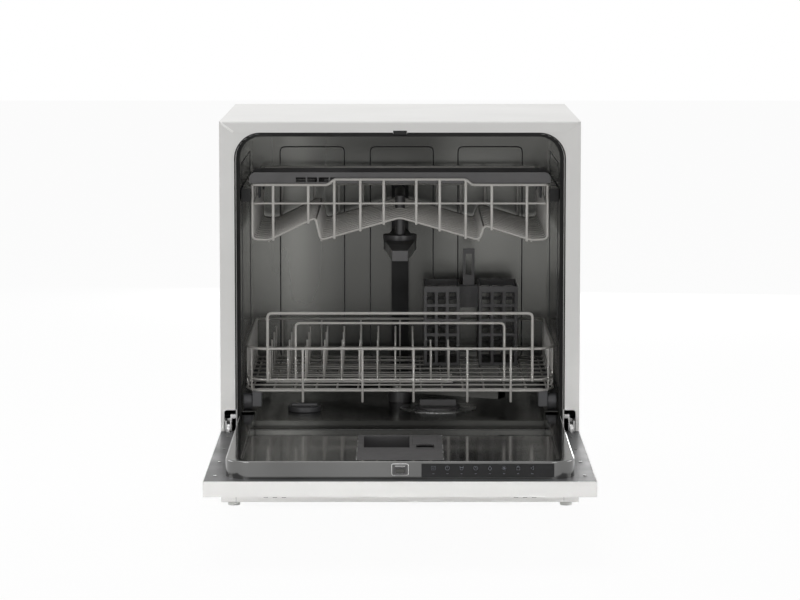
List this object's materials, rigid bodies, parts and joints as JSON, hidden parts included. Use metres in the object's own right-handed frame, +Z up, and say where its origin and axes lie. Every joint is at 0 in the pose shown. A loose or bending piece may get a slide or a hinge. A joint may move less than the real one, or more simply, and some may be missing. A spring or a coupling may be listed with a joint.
{
  "type": "countertop dishwasher",
  "caption": "White countertop dishwasher with its drop-down door open, steel tub, two sliding wire racks, cutlery baskets and turning spray arms.",
  "frame": {"origin": "on the floor plane, midway between the casing's sides and midway between the open door's front edge and the water connectors at the back", "axes": "+X to the machine's own left as seen from behind, that is to the viewer's right; -Y is the front, towards the open door; +Z is up"},
  "size_m": [0.55, 0.978, 0.595],
  "materials": {
    "casing_paint": "satin white stove enamel",
    "tub_steel": "polished stainless sheet",
    "liner_steel": "polished stainless sheet",
    "inner_panel": "dark satin coating",
    "bare_steel": "zinc-plated, satin",
    "coated_wire": "smooth nylon coat, semi-gloss",
    "dark_plastic": "satin",
    "grey_plastic": "satin",
    "black_plastic": "satin",
    "white_plastic": "satin",
    "strip_gloss": "gloss",
    "icon_print": "printed",
    "board_green": "solder mask",
    "seal_rubber": "matte"
  },
  "bodies": {
    "cabinet": {"side_panels": "casing_paint", "top_cover": "casing_paint", "rear_panel": "casing_paint", "front_frame": "casing_paint", "base_tray": "grey_plastic", "plinth": "casing_paint", "feet": "white_plastic", "tub_shell": "tub_steel", "door_gasket": "seal_rubber", "air_break": "white_plastic", "sump": "dark_plastic", "filter_plate": "bare_steel", "riser_duct": "black_plastic", "spray_post": "dark_plastic", "circulation_pump": "dark_plastic", "drain_pump": "dark_plastic", "softener_tank": "white_plastic", "inlet_valve": "white_plastic", "drain_outlet": "grey_plastic", "mains_gland": "dark_plastic", "hinge_brackets": "bare_steel", "door_springs": "bare_steel", "latch_hook": "black_plastic", "rail_glides": "grey_plastic", "casing_screws": "bare_steel", "bottom_seal": "seal_rubber"},
    "door": {"door_panel": "casing_paint", "door_carrier": "inner_panel", "door_liner": "liner_steel", "control_strip": "strip_gloss", "touch_icons": "icon_print", "control_board": "board_green", "latch_housing": "dark_plastic", "dispenser_body": "dark_plastic", "hinge_arms": "bare_steel", "door_screws": "bare_steel"},
    "latch_tongue": {"latch_tongue": "bare_steel"},
    "detergent_lid": {"detergent_lid": "dark_plastic"},
    "rinse_flap": {"rinse_flap": "dark_plastic"},
    "filter_cup": {"filter_cup": "dark_plastic"},
    "salt_cap": {"salt_cap": "grey_plastic"},
    "lower_spray_arm": {"lower_spray_arm": "tub_steel"},
    "upper_spray_arm": {"upper_spray_arm": "dark_plastic"},
    "upper_rails": {"upper_rails": "bare_steel", "rail_caps": "black_plastic"},
    "upper_front_rollers": {"upper_front_rollers": "grey_plastic"},
    "upper_rear_rollers": {"upper_rear_rollers": "grey_plastic"},
    "lower_front_rollers": {"lower_front_rollers": "grey_plastic"},
    "lower_rear_rollers": {"lower_rear_rollers": "grey_plastic"},
    "lower_rack": {"lower_rack_floor": "coated_wire", "lower_rack_walls": "coated_wire", "lower_rack_tines": "coated_wire", "lower_rack_handles": "coated_wire", "roller_brackets": "grey_plastic"},
    "cutlery_basket": {"cutlery_basket": "dark_plastic"},
    "upper_rack": {"upper_rack_floor": "coated_wire", "upper_rack_walls": "coated_wire", "upper_rack_brackets": "grey_plastic", "utensil_tray": "dark_plastic", "upper_feed_duct": "dark_plastic"}
  },
  "joints": [
    {"name": "door_hinge", "type": "hinge", "parent": "cabinet", "child": "door", "pos_m": [0, -0.022, 0.124], "axis": [1, 0, 0], "range_deg": [-90, 0]},
    {"name": "lower_rack_slide", "type": "slide", "parent": "cabinet", "child": "lower_rack", "axis": [0, -1, 0], "range_m": [0, 0.3]},
    {"name": "upper_rack_slide", "type": "slide", "parent": "cabinet", "child": "upper_rack", "axis": [0, -1, 0], "range_m": [0, 0.33]},
    {"name": "upper_rails_slide", "type": "slide", "parent": "cabinet", "child": "upper_rails", "axis": [0, -1, 0], "range_m": [0, 0.165]},
    {"name": "lower_spray_turn", "type": "hinge", "parent": "cabinet", "child": "lower_spray_arm", "pos_m": [0, 0.21, 0.156], "axis": [0, 0, 1], "continuous": true},
    {"name": "upper_spray_turn", "type": "hinge", "parent": "upper_rack", "child": "upper_spray_arm", "pos_m": [0, 0.21, 0.384], "axis": [0, 0, 1], "continuous": true},
    {"name": "detergent_lid_slide", "type": "slide", "parent": "door", "child": "detergent_lid", "axis": [0, 1, 0], "range_m": [0, 0.1]},
    {"name": "rinse_flap_hinge", "type": "hinge", "parent": "door", "child": "rinse_flap", "pos_m": [0.0365, -0.2288, 0.1414], "axis": [1, 0, 0], "range_deg": [-80, 0]},
    {"name": "latch_tongue_slide", "type": "slide", "parent": "door", "child": "latch_tongue", "axis": [0, 1, 0], "range_m": [0, 0.003], "stiffness_N_per_m": 500},
    {"name": "filter_cup_twist", "type": "hinge", "parent": "cabinet", "child": "filter_cup", "pos_m": [0.06, 0.135, 0.1], "axis": [0, 0, 1], "range_deg": [0, 90]},
    {"name": "salt_cap_twist", "type": "hinge", "parent": "cabinet", "child": "salt_cap", "pos_m": [-0.15, 0.105, 0.136], "axis": [0, 0, 1], "range_deg": [0, 90]},
    {"name": "cutlery_basket_lift", "type": "slide", "parent": "lower_rack", "child": "cutlery_basket", "axis": [0, 0, 1], "range_m": [0, 0.04]},
    {"name": "lower_front_roll", "type": "hinge", "parent": "lower_rack", "child": "lower_front_rollers", "pos_m": [0, 0.039, 0.1575], "axis": [1, 0, 0], "range_deg": [0, 1400]},
    {"name": "lower_rear_roll", "type": "hinge", "parent": "lower_rack", "child": "lower_rear_rollers", "pos_m": [0, 0.339, 0.1575], "axis": [1, 0, 0], "range_deg": [0, 1400]},
    {"name": "upper_front_roll", "type": "hinge", "parent": "upper_rack", "child": "upper_front_rollers", "pos_m": [0, 0.21, 0.48], "axis": [1, 0, 0], "range_deg": [0, 1262]},
    {"name": "upper_rear_roll", "type": "hinge", "parent": "upper_rack", "child": "upper_rear_rollers", "pos_m": [0, 0.375, 0.48], "axis": [1, 0, 0], "range_deg": [0, 1262]}
  ],
  "couplings": [
    {"joint": "upper_rails_slide", "follows": "upper_rack_slide", "ratio": 0.5},
    {"joint": "lower_front_roll", "follows": "lower_rack_slide", "rad_per_m": 80},
    {"joint": "lower_rear_roll", "follows": "lower_rack_slide", "rad_per_m": 80},
    {"joint": "upper_front_roll", "follows": "upper_rack_slide", "rad_per_m": 66.667},
    {"joint": "upper_rear_roll", "follows": "upper_rack_slide", "rad_per_m": 66.667}
  ]
}
